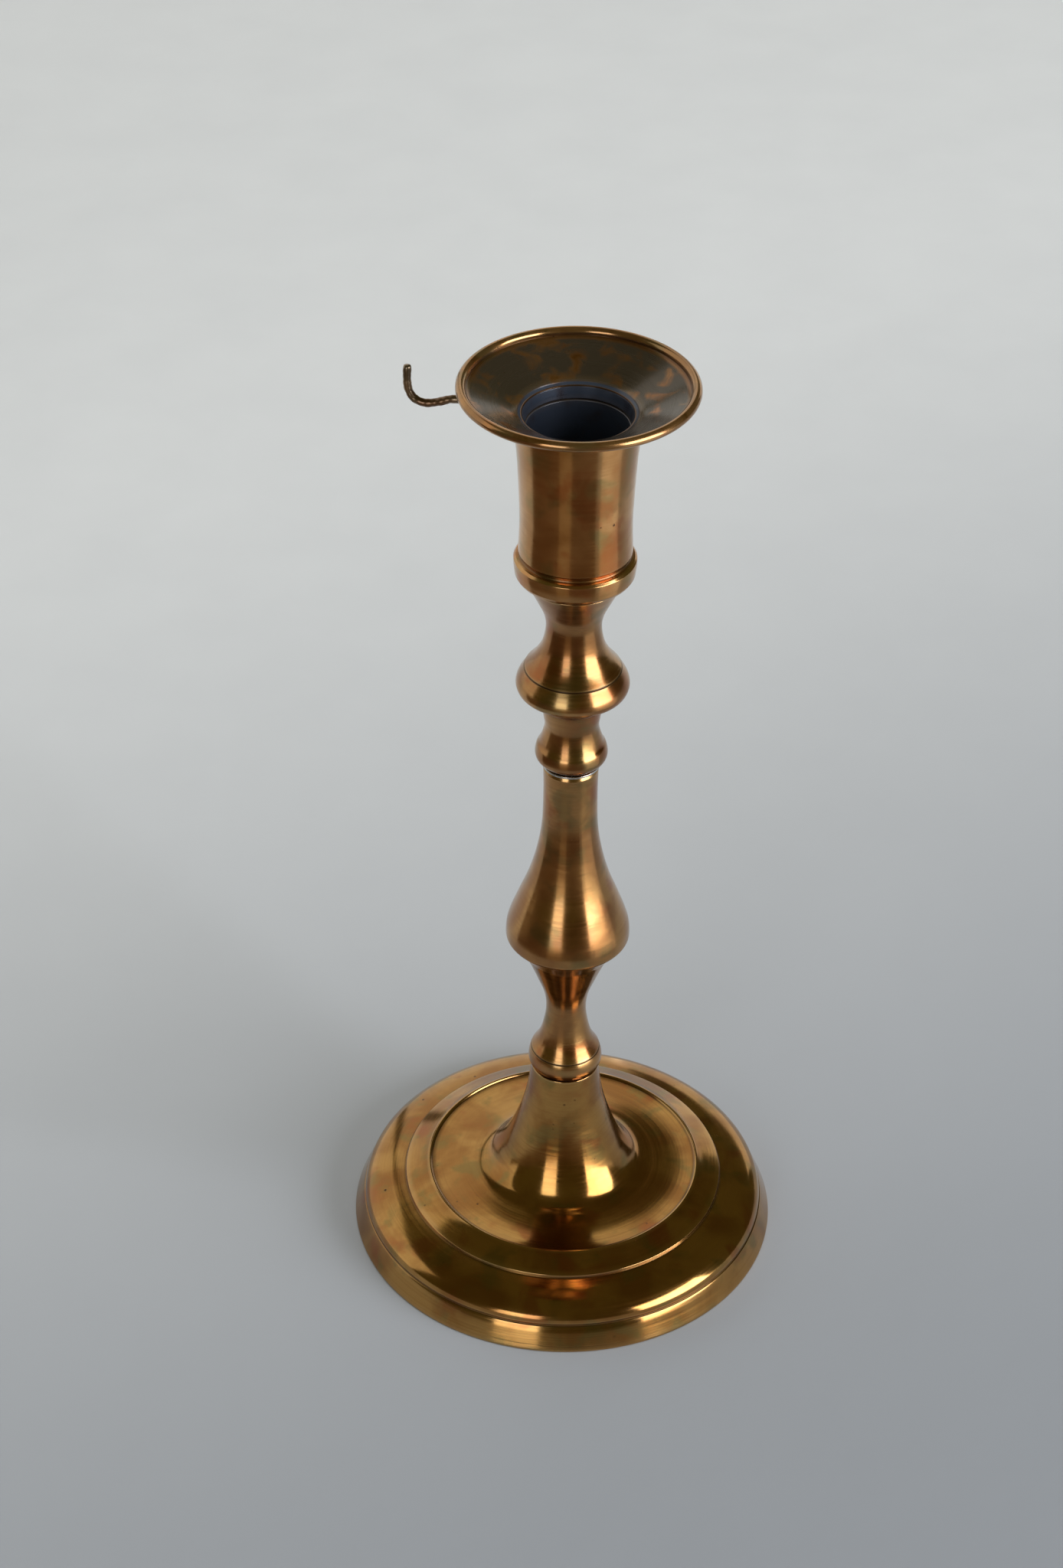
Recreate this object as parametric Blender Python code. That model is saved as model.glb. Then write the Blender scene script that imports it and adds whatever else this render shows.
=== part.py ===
"""Turned brass candlestick with a drip pan and a hook for a snuffer.

The frame has its origin at the middle of the foot's underside, +Z up the stem. All outlines below are lists of
(radius, height) in millimetres, bottom to top, and every turned piece is one of them spun about the Z axis.
"""

import math

import bmesh
import bpy
from mathutils import Matrix, Vector

MM = 0.001
GAP = 0.3               # space left between two pieces that touch
SEGMENTS = 32           # facets round a large turned piece
SMALL_SEGMENTS = 16     # facets round a screw or a stud
MERGE = 1e-7

# Foot
FOOT_RADIUS = 52.0
FOOT_TOP = 47.2
FOOT_NECK_RADIUS = 8.1
FOOT_WALL = 2.3
SKIRT_WALL = 3.0
WEB_THICKNESS = 3.2     # floor at the top of the foot's hollow, which the screw passes through
HOLLOW_TOP_RADIUS = 6.6
THROAT_STOP = 2.0       # how far below the web the throat's even wall ends

# Seams, as heights on the axis
COLLAR_BOTTOM = FOOT_TOP + GAP
MID_SEAM = 136.7        # top face of the lower stem
WASHER_THICKNESS = 0.5
UPPER_BOTTOM = MID_SEAM + WASHER_THICKNESS + 2 * GAP
UPPER_TOP = 186.6
CUP_BOTTOM = UPPER_TOP + GAP
CUP_TOP = 227.9

# Candle socket
SOCKET_RADIUS = 11.1
SOCKET_FLOOR = 193.6
MOUTH_RADIUS = 12.3     # the pan's spigot sits in this counterbore
MOUTH_DEPTH = 2.9

# Drip pan
PAN_BOTTOM = CUP_TOP + GAP
PAN_HOLE_RADIUS = 12.95
PAN_HOLE_HEIGHT = 229.1
SPIGOT_WALL = 0.7
RIM_RADIUS = 25.0       # to the middle of the rolled rim
RIM_HEIGHT = 234.35
RIM_BEAD = 1.15

# Threads, drawn as plain shanks
THREAD_RADIUS = 3.0
THREAD_HOLE = THREAD_RADIUS + GAP
CLEARANCE_HOLE = 3.4
THREAD_DEPTH = 12.0
HEAD_RADIUS = 5.0
HEAD_HEIGHT = 3.0
SLOT_WIDTH = 1.2
SLOT_DEPTH = 1.4
WASHER_RADIUS = 5.8
FOOT_WASHER_THICKNESS = 0.8
SEAM_WASHER_RADIUS = 6.7

# Hook of bent wire, in the upright plane that holds the axis
HOOK_AZIMUTH = math.radians(168.0)
HOOK_WIRE = 0.9         # radius of the wire
HOOK_LINE = [(12.7, 226.5), (18.0, 227.0), (24.0, 227.8), (27.6, 227.7), (30.4, 226.7), (33.4, 226.0), (35.8, 226.7),
             (37.1, 228.5), (37.5, 231.0), (37.4, 234.7)]
HOOK_STEPS = 3
HOOK_FACETS = 3         # bevel resolution, which gives ten sides
HOOK_HOLE_DEPTH = 6.0   # length of the rod that cuts the wire's hole, centred on the wire's root
HOOK_HOLE_SIDES = 12

BRASS = (0.55, 0.36, 0.14)
DARK_BRASS = (0.30, 0.21, 0.10)
STEEL = (0.62, 0.61, 0.58)


def clear_scene():
    """Remove every object that the file opened with."""
    for obj in list(bpy.data.objects):
        bpy.data.objects.remove(obj, do_unlink=True)


def metal(name, colour, roughness):
    """Make a metal with one colour."""
    material = bpy.data.materials.new(name)
    material.use_nodes = True
    shader = material.node_tree.nodes["Principled BSDF"]
    shader.inputs["Base Color"].default_value = (*colour, 1.0)
    shader.inputs["Metallic"].default_value = 1.0
    shader.inputs["Roughness"].default_value = roughness
    return material


def smooth(points, steps):
    """Points of a Catmull-Rom curve through the given points, with a number of steps in each span."""
    padded = [points[0], *points, points[-1]]
    curve = []
    for i in range(len(points) - 1):
        a, b, c, d = [Vector(p) for p in padded[i:i + 4]]
        for k in range(steps):
            t = k / steps
            curve.append(tuple(0.5 * (2 * b + (c - a) * t + (2 * a - 5 * b + 4 * c - d) * t ** 2
                                      + (3 * b - a - 3 * c + d) * t ** 3)))
    curve.append(tuple(points[-1]))
    return curve


def arc(centre, radius, start, end, steps):
    """Points on a circle in the outline's plane, from one angle to another, in degrees."""
    points = []
    for k in range(steps + 1):
        angle = math.radians(start + (end - start) * k / steps)
        points.append((centre[0] + radius * math.cos(angle), centre[1] + radius * math.sin(angle)))
    return points


def inset(points, distance):
    """An outline moved towards the axis side of itself by a distance."""
    moved = []
    for i, point in enumerate(points):
        before = Vector(points[max(i - 1, 0)])
        after = Vector(points[min(i + 1, len(points) - 1)])
        along = (after - before).normalized()
        moved.append((point[0] - along.y * distance, point[1] + along.x * distance))
    return moved


def spun(name, outline, segments, material):
    """Spin an outline about the Z axis into a closed body. It is a loop, or it starts and ends on the axis."""
    mesh = bpy.data.meshes.new(name)
    form = bmesh.new()
    verts = [form.verts.new((r * MM, 0.0, z * MM)) for r, z in outline]
    edges = [form.edges.new(pair) for pair in zip(verts, verts[1:])]
    if outline[0][0] > 0.0:
        edges.append(form.edges.new((verts[-1], verts[0])))
    bmesh.ops.spin(form, geom=verts + edges, cent=(0, 0, 0), axis=(0, 0, 1), angle=2 * math.pi, steps=segments,
                   use_merge=True)
    bmesh.ops.remove_doubles(form, verts=form.verts[:], dist=MERGE)
    bmesh.ops.recalc_face_normals(form, faces=form.faces[:])
    form.to_mesh(mesh)
    form.free()
    return add(name, mesh, material)


def add(name, data, material):
    """Put a mesh or a curve in the scene as a named object with a material."""
    obj = bpy.data.objects.new(name, data)
    bpy.context.collection.objects.link(obj)
    data.materials.append(material)
    if hasattr(data, "shade_smooth"):
        data.shade_smooth()
        data.set_sharp_from_angle(angle=math.radians(30.0))
    return obj


def guide(name, mesh):
    """A hidden object for a Boolean to cut with."""
    obj = bpy.data.objects.new(name, mesh)
    bpy.context.collection.objects.link(obj)
    obj.hide_render = True
    obj.display_type = "WIRE"
    return obj


def cut(obj, cutter):
    """Cut a piece with a hidden guide."""
    modifier = obj.modifiers.new(cutter.name, "BOOLEAN")
    modifier.operation = "DIFFERENCE"
    modifier.object = cutter


def slot_cutter(name, height):
    """A bar across the axis, centred at a height, that cuts a screwdriver slot."""
    form = bmesh.new()
    size = Matrix.Diagonal((4 * HEAD_RADIUS * MM, SLOT_WIDTH * MM, 2 * SLOT_DEPTH * MM, 1.0))
    bmesh.ops.create_cube(form, size=1.0, matrix=Matrix.Translation((0, 0, height * MM)) @ size)
    mesh = bpy.data.meshes.new(name)
    form.to_mesh(mesh)
    form.free()
    return guide(name, mesh)


def foot_outline():
    """The foot's outside, from the rim that it stands on to its neck, and its hollow underside."""
    skirt = [(FOOT_RADIUS, 0.0), (FOOT_RADIUS, 0.6), (50.3, 5.3), (50.0, 5.9), (49.6, 6.1), (49.7, 6.6)]
    ovolo = smooth([(49.6, 6.9), (48.8, 8.4), (46.6, 10.1), (43.2, 11.3), (39.4, 12.0)], 2)
    band = [(39.1, 12.8), (34.1, 15.1), (33.6, 15.7), (33.2, 15.9), (32.7, 15.7)]
    trumpet = smooth([(32.2, 15.35), (29.5, 14.6), (24.5, 15.05), (20.0, 15.75), (17.3, 17.5), (14.6, 22.0),
                      (12.4, 27.4), (10.6, 33.0), (9.2, 38.8), (FOOT_NECK_RADIUS, FOOT_TOP)], 2)
    outside = skirt + ovolo + band + trumpet

    roof = FOOT_TOP - WEB_THICKNESS
    hollow = [(CLEARANCE_HOLE, FOOT_TOP), (CLEARANCE_HOLE, roof), (HOLLOW_TOP_RADIUS, roof)]
    throat = [p for p in inset(trumpet, FOOT_WALL) if p[1] < roof - THROAT_STOP and p[0] > HOLLOW_TOP_RADIUS]
    under = [(32.9, 13.1), (38.4, 10.2), (45.4, 7.9), (48.2, 5.4), (FOOT_RADIUS - SKIRT_WALL, 3.4),
             (FOOT_RADIUS - SKIRT_WALL, 0.0)]
    return outside + hollow + throat[::-1] + under


def lower_stem_outline():
    """Collar, spool, bell and straight neck, with a blind hole at each end."""
    collar = [(7.9, COLLAR_BOTTOM), (8.6, 48.3), (8.9, 49.6), (8.6, 51.7), (8.05, 52.7)]
    spool = smooth([(8.1, 53.1), (6.5, 56.0), (5.4, 60.0), (4.8, 65.0), (5.4, 70.0), (7.55, 76.0), (8.9, 79.4)], 2)
    bell = smooth([(10.2, 82.4), (12.7, 85.9), (14.3, 87.3), (14.65, 88.6), (14.2, 92.0), (12.1, 98.0), (9.5, 105.0),
                   (7.6, 112.4), (6.5, 120.0), (6.25, 129.0), (6.35, 135.9)], 2)
    hole_bottom = [(0.0, COLLAR_BOTTOM + THREAD_DEPTH), (THREAD_HOLE, COLLAR_BOTTOM + THREAD_DEPTH),
                   (THREAD_HOLE, COLLAR_BOTTOM)]
    hole_top = [(6.0, MID_SEAM), (THREAD_HOLE, MID_SEAM), (THREAD_HOLE, MID_SEAM - THREAD_DEPTH),
                (0.0, MID_SEAM - THREAD_DEPTH)]
    return hole_bottom + collar + spool + bell + hole_top


def upper_stem_outline():
    """Small knop, waist, big knop, waist and flare, with a blind hole at each end."""
    hole_bottom = [(0.0, UPPER_BOTTOM + THREAD_DEPTH), (THREAD_HOLE, UPPER_BOTTOM + THREAD_DEPTH),
                   (THREAD_HOLE, UPPER_BOTTOM)]
    small_knop = smooth([(6.1, UPPER_BOTTOM), (7.7, 138.9), (8.3, 140.3), (8.0, 142.3), (7.15, 144.0), (6.2, 147.6),
                         (6.5, 150.6)], 2)
    big_knop = smooth([(7.0, 153.6), (8.9, 156.0), (11.9, 157.6), (12.85, 159.4), (12.5, 161.6), (11.2, 163.3)], 2)
    line = [(10.8, 163.5)]
    flare = smooth([(10.8, 163.9), (8.7, 166.5), (7.0, 170.0), (6.25, 174.5), (6.75, 178.0), (8.3, 181.6),
                    (10.8, UPPER_TOP)], 2)
    hole_top = [(THREAD_HOLE, UPPER_TOP), (THREAD_HOLE, UPPER_TOP - THREAD_DEPTH), (0.0, UPPER_TOP - THREAD_DEPTH)]
    return hole_bottom + small_knop + big_knop + line + flare + hole_top


def cup_outline():
    """Socket tube with a ring at its bottom, a floor with a screw hole and a counterbored mouth."""
    ring = [(11.0, CUP_BOTTOM), (12.9, 188.2), (13.3, 188.9), (13.55, 191.0), (13.55, 192.6), (13.1, 193.1),
            (12.3, 193.3), (12.3, 194.1), (12.6, 194.6)]
    tube = smooth([(12.5, 196.0), (12.33, 202.0), (12.5, 208.0), (12.9, 216.0), (13.3, 221.0), (14.0, CUP_TOP)], 2)
    inside = [(MOUTH_RADIUS, CUP_TOP), (MOUTH_RADIUS, CUP_TOP - MOUTH_DEPTH), (SOCKET_RADIUS, CUP_TOP - MOUTH_DEPTH),
              (SOCKET_RADIUS, SOCKET_FLOOR + 1.0), (SOCKET_RADIUS - 1.0, SOCKET_FLOOR), (CLEARANCE_HOLE, SOCKET_FLOOR),
              (CLEARANCE_HOLE, CUP_BOTTOM)]
    return ring + tube + inside


def pan_outline():
    """Spigot that sits in the cup's mouth, conical dish and rolled rim."""
    spigot_radius = MOUTH_RADIUS - GAP
    spigot_bottom = CUP_TOP - MOUTH_DEPTH + GAP
    neck = [(spigot_radius - SPIGOT_WALL, spigot_bottom), (spigot_radius, spigot_bottom), (spigot_radius, PAN_BOTTOM),
            (14.0, PAN_BOTTOM), (23.9, 232.8)]
    rim = arc((RIM_RADIUS, RIM_HEIGHT), RIM_BEAD, -95.0, 200.0, 10)
    dish = [(23.5, 233.6), (PAN_HOLE_RADIUS + 1.0, PAN_HOLE_HEIGHT + 0.3), (PAN_HOLE_RADIUS, PAN_HOLE_HEIGHT - 0.3)]
    return neck + rim + dish


def tube_outline(inner, outer, bottom, top):
    """A plain washer."""
    return [(outer, bottom), (outer, top), (inner, top), (inner, bottom)]


def screw_outline(shank_end, seat, head_end):
    """A cheese head on a plain shank, drawn from the shank's end to the outside of the head."""
    return [(0.0, shank_end), (THREAD_RADIUS, shank_end), (THREAD_RADIUS, seat), (HEAD_RADIUS, seat),
            (HEAD_RADIUS, head_end), (0.0, head_end)]


def hook_point(point):
    """A (radius, height) of the hook's plane as a place in the frame, in metres."""
    r, z = point
    return Vector((r * math.cos(HOOK_AZIMUTH), r * math.sin(HOOK_AZIMUTH), z)) * MM


def make_hook(name, material):
    """The wire, as a bevelled curve with closed ends."""
    line = smooth(HOOK_LINE, HOOK_STEPS)
    curve = bpy.data.curves.new(name, "CURVE")
    curve.dimensions = "3D"
    curve.bevel_depth = HOOK_WIRE * MM
    curve.bevel_resolution = HOOK_FACETS
    curve.use_fill_caps = True
    spline = curve.splines.new("POLY")
    spline.points.add(len(line) - 1)
    for vertex, point in zip(spline.points, line):
        vertex.co = (*hook_point(point), 1.0)
    return add(name, curve, material)


def hook_hole_cutter(name):
    """A rod along the wire's root, wider than the wire by the gap, that cuts its hole in the cup's wall."""
    root, next_point = hook_point(HOOK_LINE[0]), hook_point(HOOK_LINE[1])
    along = (next_point - root).normalized()
    radius = (HOOK_WIRE + GAP) * MM
    form = bmesh.new()
    turn = along.to_track_quat("Z", "Y").to_matrix().to_4x4()
    bmesh.ops.create_cone(form, cap_ends=True, segments=HOOK_HOLE_SIDES, radius1=radius, radius2=radius,
                          depth=HOOK_HOLE_DEPTH * MM, matrix=Matrix.Translation(root) @ turn)
    mesh = bpy.data.meshes.new(name)
    form.to_mesh(mesh)
    form.free()
    return guide(name, mesh)


def main():
    """Build every piece of the candlestick."""
    clear_scene()
    brass = metal("turned_brass", BRASS, 0.30)
    dark = metal("tarnished_brass", DARK_BRASS, 0.40)
    steel = metal("steel", STEEL, 0.35)

    spun("foot", foot_outline(), SEGMENTS, brass)
    spun("lower_stem", lower_stem_outline(), SEGMENTS, brass.copy())
    spun("upper_stem", upper_stem_outline(), SEGMENTS, brass.copy())
    cup = spun("candle_cup", cup_outline(), SEGMENTS, brass.copy())
    cut(cup, hook_hole_cutter("hook_hole"))
    spun("drip_pan", pan_outline(), SEGMENTS, dark)
    make_hook("snuffer_hook", dark.copy())

    washer_bottom = MID_SEAM + GAP
    spun("seam_washer", tube_outline(CLEARANCE_HOLE, SEAM_WASHER_RADIUS, washer_bottom,
                                     washer_bottom + WASHER_THICKNESS), SEGMENTS, steel)
    stud_bottom = MID_SEAM - THREAD_DEPTH + GAP
    stud_top = UPPER_BOTTOM + THREAD_DEPTH - 2 * GAP
    spun("stem_stud", [(0.0, stud_bottom), (THREAD_RADIUS, stud_bottom), (THREAD_RADIUS, stud_top), (0.0, stud_top)],
         SMALL_SEGMENTS, steel.copy())

    roof = FOOT_TOP - WEB_THICKNESS
    foot_washer_top = roof - GAP
    foot_washer_bottom = foot_washer_top - FOOT_WASHER_THICKNESS
    spun("foot_washer", tube_outline(CLEARANCE_HOLE, WASHER_RADIUS, foot_washer_bottom, foot_washer_top),
         SMALL_SEGMENTS, steel.copy())
    seat = foot_washer_bottom - GAP
    foot_screw = spun("foot_screw", screw_outline(COLLAR_BOTTOM + THREAD_DEPTH - 2 * GAP, seat, seat - HEAD_HEIGHT),
                      SMALL_SEGMENTS, steel.copy())
    cut(foot_screw, slot_cutter("foot_screw_slot", seat - HEAD_HEIGHT))

    seat = SOCKET_FLOOR + GAP
    cup_screw = spun("cup_screw", screw_outline(UPPER_TOP - THREAD_DEPTH + 2 * GAP, seat, seat + HEAD_HEIGHT),
                     SMALL_SEGMENTS, steel.copy())
    cut(cup_screw, slot_cutter("cup_screw_slot", seat + HEAD_HEIGHT))


main()
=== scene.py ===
"""Looks of a turned brass candlestick with a drip pan, a hook for a snuffer and a stem that screws apart.

Every turned piece is an outline of (radius, height) points in millimetres, spun about the Z axis by one
Geometry Nodes tree. The outline also carries how worn, grimy, tarnished and smoke-blackened the metal is,
and the finishes read that. The brightening of worn edges is partly a painted highlight, and the blackened
bores carry a painted bluish sheen.
"""

import logging
import math
from dataclasses import dataclass
from enum import Enum

import bpy
import numpy as np
from bpy.types import ID, Material, Mesh, NodeSocket, NodeTree, Object
from mathutils import Matrix, Vector


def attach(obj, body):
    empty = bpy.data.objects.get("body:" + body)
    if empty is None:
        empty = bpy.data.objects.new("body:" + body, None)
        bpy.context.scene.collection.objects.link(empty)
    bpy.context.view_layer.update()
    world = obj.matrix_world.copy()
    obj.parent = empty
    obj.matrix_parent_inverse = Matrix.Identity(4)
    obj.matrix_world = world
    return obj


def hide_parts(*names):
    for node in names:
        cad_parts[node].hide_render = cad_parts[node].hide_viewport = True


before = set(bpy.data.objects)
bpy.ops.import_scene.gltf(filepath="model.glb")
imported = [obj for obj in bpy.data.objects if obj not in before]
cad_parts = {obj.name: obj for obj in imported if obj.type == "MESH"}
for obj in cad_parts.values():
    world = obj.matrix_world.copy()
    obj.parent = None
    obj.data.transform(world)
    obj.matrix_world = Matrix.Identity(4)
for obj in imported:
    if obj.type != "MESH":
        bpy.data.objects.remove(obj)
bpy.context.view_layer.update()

LOG = logging.getLogger("candlestick")
MM = 0.001
MERGE = 1e-6
# The first layer brightens convex edges, partly rubbed metal and partly a painted highlight; the last
# blackens the bores with candle smoke and a painted bluish sheen.
LAYERS = ("wear_and_highlight", "grime", "tarnish", "soot_and_sheen")

Point = tuple[float, float]


class Body(Enum):
    """The bodies that pieces ride on."""

    BASE = "base"
    SEAM = "seam"
    TOP = "top"


class Slot(Enum):
    """The record's material slots."""

    FOOT = "foot_brass"
    STEM = "stem_brass"
    CUP = "cup_brass"
    PAN = "pan_brass"
    WIRE = "wire_brass"
    SEAM = "seam_metal"
    SCREW = "screw_steel"


def linear(colour: str) -> tuple[float, float, float, float]:
    """Turn an sRGB hex colour into linear values.

    Args:
        colour: the colour as "#RRGGBB".

    Returns:
        Linear red, green, blue and an alpha of 1.
    """
    channels = [int(colour[i:i + 2], 16) / 255 for i in (1, 3, 5)]
    return (*(c / 12.92 if c <= 0.04045 else ((c + 0.055) / 1.055) ** 2.4 for c in channels), 1.0)


def add(tree: NodeTree, kind: str, inputs: dict | None = None, take: str = "",
        **settings: object) -> NodeSocket | None:
    """Add a node with its settings and links.

    Args:
        tree: the node tree that takes the node.
        kind: Blender's name for the kind of node.
        inputs: sockets by name, identifier or number, each with a value or with an output to link from.
        take: the name or identifier of the output wanted, or nothing for the first one in use.
        settings: the node's own properties.

    Returns:
        The output socket, or None for a node without outputs.
    """
    node = tree.nodes.new(kind)
    for name, value in settings.items():
        setattr(node, name, value)
    for key, value in (inputs or {}).items():
        socket = node.inputs[key] if isinstance(key, int) else next(
            s for s in node.inputs if key in (s.identifier, s.name))
        if isinstance(value, NodeSocket):
            tree.links.new(value, socket)
        else:
            socket.default_value = value
    if not node.outputs:
        return None
    if take:
        return next(s for s in node.outputs if take in (s.identifier, s.name))
    return next(s for s in node.outputs if s.enabled)


def show(name: str, data: ID) -> Object:
    """Put a mesh, a light or a camera in the scene.

    Args:
        name: the object's name.
        data: what it shows.

    Returns:
        The object.
    """
    thing = bpy.data.objects.new(name, data)
    bpy.context.scene.collection.objects.link(thing)
    return thing


def settled(thing: Object) -> Mesh:
    """Take a copy of an object's mesh as its modifiers leave it.

    Args:
        thing: the object.

    Returns:
        The mesh.
    """
    graph = bpy.context.evaluated_depsgraph_get()
    final = thing.evaluated_get(graph)
    return bpy.data.meshes.new_from_object(final, preserve_all_data_layers=True, depsgraph=graph)


def blank(name: str) -> Material:
    """Start a material with an empty node tree.

    Args:
        name: the material's name.

    Returns:
        The material.
    """
    material = bpy.data.materials.new(name)
    material.use_nodes = True
    material.node_tree.nodes.clear()
    return material


# -------------------------------------------------------------------------------------------- outlines


class Outline:
    """A turned piece's section as (radius, height) points in millimetres, drawn up its outside face."""

    EASED_FROM = math.radians(14.0)     # corners that turn less than this are left alone
    CORNER_STEPS = 4                    # steps across an eased corner
    CORNER_SHARE = 0.4                  # most of an edge that easing may take
    SUPPORT = 0.05                      # from an eased corner to the point that keeps its neighbour flat
    LONGEST = 1.4                       # longest straight step
    WEAR_AND_HIGHLIGHT_WIDTH = 0.2
    GRIME_WIDTH = 0.2

    def __init__(self, ease: float = 0.2) -> None:
        """Start an outline whose corners are eased to a radius in millimetres."""
        self.ease = ease
        self.rows: list[tuple[float, ...]] = []

    def line(self, *points: Point, tarnish: float = 0.0, soot_and_sheen: float = 0.0, thread: float = 0.0) -> "Outline":
        """Go on through points in straight lines.

        Args:
            points: (radius, height) of each point.
            tarnish: how dark the metal has gone, from 0 to 1.
            soot_and_sheen: how blackened by candle smoke it is, from 0 to 1; the same amount lays on a
                painted bluish sheen.
            thread: 1 where a screw thread is cut, otherwise 0.

        Returns:
            The outline itself, so that calls can follow each other.
        """
        self.rows += [(r, z, tarnish, soot_and_sheen, thread) for r, z in points]
        return self

    def curve(self, *points: Point, steps: int = 10, tarnish: float = 0.0, soot_and_sheen: float = 0.0) -> "Outline":
        """Go on through points along a Catmull-Rom curve.

        Args:
            points: (radius, height) of each point.
            steps: steps in each span.
            tarnish: how dark the metal has gone, from 0 to 1.
            soot_and_sheen: how blackened by candle smoke it is, from 0 to 1; the same amount lays on a
                painted bluish sheen.

        Returns:
            The outline itself.
        """
        return self.line(*smooth(points, steps), tarnish=tarnish, soot_and_sheen=soot_and_sheen)

    def bead(self, centre: Point, radius: float, start: float, end: float, steps: int,
             tarnish: float = 0.0) -> "Outline":
        """Go on along part of a circle.

        Args:
            centre: the circle's centre.
            radius: its radius in millimetres.
            start: first angle in degrees.
            end: last angle in degrees.
            steps: steps between them.
            tarnish: how dark the metal has gone, from 0 to 1.

        Returns:
            The outline itself.
        """
        angles = np.radians(np.linspace(start, end, steps + 1))
        points = [(centre[0] + radius * math.cos(a), centre[1] + radius * math.sin(a)) for a in angles]
        return self.line(*points, tarnish=tarnish)

    def finished(self) -> np.ndarray:
        """Ease the corners, divide long runs and work out the rubbed edges, partly a painted highlight, and
        grime.

        Returns:
            Rows of radius, height, tarnish, soot with a painted bluish sheen, thread, wear with a painted
            highlight and grime. A loop ends with its first row.
        """
        rows = np.array(self.rows)
        closed = rows[0, 0] > 0.0
        before = np.roll(rows, 1, axis=0) if closed else np.vstack([rows[:1], rows[:-1]])
        after = np.roll(rows, -1, axis=0) if closed else np.vstack([rows[1:], rows[-1:]])
        eased: list[np.ndarray] = []
        for previous, here, following in zip(before, rows, after):
            eased += self._corner(previous, here, following)
        if closed:
            eased.append(eased[0])
        divided = [eased[0]]
        for first, second in zip(eased, eased[1:]):
            parts = max(1, math.ceil(math.dist(first[:2], second[:2]) / self.LONGEST))
            divided += [first + (second - first) * k / parts for k in range(1, parts + 1)]
        section = np.array(divided)
        return np.column_stack([section, *self._handled(section, closed)])

    def _corner(self, previous: np.ndarray, here: np.ndarray, following: np.ndarray) -> list[np.ndarray]:
        """Round one corner off.

        Args:
            previous: the row before the corner.
            here: the corner's row.
            following: the row after it.

        Returns:
            The rows that take the corner's place.
        """
        back, ahead = previous - here, following - here
        back_length, ahead_length = math.hypot(*back[:2]), math.hypot(*ahead[:2])
        if min(back_length, ahead_length) < MERGE:
            return [here]
        cosine = -float(back[:2] @ ahead[:2]) / (back_length * ahead_length)
        turn = math.acos(max(-1.0, min(1.0, cosine)))
        if turn < self.EASED_FROM:
            return [here]
        reach = min(self.ease * math.tan(turn / 2), self.CORNER_SHARE * min(back_length, ahead_length))
        start, end = here + back * reach / back_length, here + ahead * reach / ahead_length
        rows = [(1 - t) ** 2 * start + 2 * t * (1 - t) * here + t * t * end
                for t in np.linspace(0.0, 1.0, self.CORNER_STEPS + 1)]
        if back_length > 0.9 * reach + 3 * self.SUPPORT:
            rows.insert(0, start + back * self.SUPPORT / back_length)
        if ahead_length > 0.9 * reach + 3 * self.SUPPORT:
            rows.append(end + ahead * self.SUPPORT / ahead_length)
        return rows

    def _handled(self, section: np.ndarray, closed: bool) -> tuple[np.ndarray, np.ndarray]:
        """Work out how much each point is rubbed bright, with a painted highlight there too, or fills with
        dirt.

        Args:
            section: the outline's rows.
            closed: whether it is a loop.

        Returns:
            Wear with a painted highlight, for edges that stand out, and grime, for grooves, each from 0 to 1.
        """
        steps = np.diff(section[:, :2], axis=0)
        heading = np.arctan2(steps[:, 1], steps[:, 0])
        turn = np.zeros(len(section))
        turn[1:-1] = (np.diff(heading) + math.pi) % (2 * math.pi) - math.pi
        along = np.concatenate([[0.0], np.cumsum(np.hypot(steps[:, 0], steps[:, 1]))])
        apart = np.abs(along[:, None] - along[None, :])
        if closed:
            apart = np.minimum(apart, along[-1] - apart)
        wear_and_highlight = np.exp(-0.5 * (apart / self.WEAR_AND_HIGHLIGHT_WIDTH) ** 2) @ np.maximum(turn, 0.0)
        grime = np.exp(-0.5 * (apart / self.GRIME_WIDTH) ** 2) @ np.maximum(-turn, 0.0)
        return np.clip(wear_and_highlight / (math.pi / 2), 0.0, 1.0), np.clip(grime / (math.pi / 2), 0.0, 1.0)


def smooth(points: tuple[Point, ...] | list[Point], steps: int) -> list[Point]:
    """Draw a Catmull-Rom curve through points.

    Args:
        points: the points that the curve passes through.
        steps: steps in each span.

    Returns:
        Points along the curve.
    """
    padded = [Vector(p) for p in (points[0], *points, points[-1])]
    curve: list[Point] = []
    for a, b, c, d in zip(padded, padded[1:], padded[2:], padded[3:]):
        for k in range(steps):
            t = k / steps
            curve.append(tuple(0.5 * (2 * b + (c - a) * t + (2 * a - 5 * b + 4 * c - d) * t ** 2
                                      + (3 * b - a - 3 * c + d) * t ** 3)))
    curve.append(tuple(points[-1]))
    return curve


# -------------------------------------------------------------------------------------- node workshops


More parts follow.
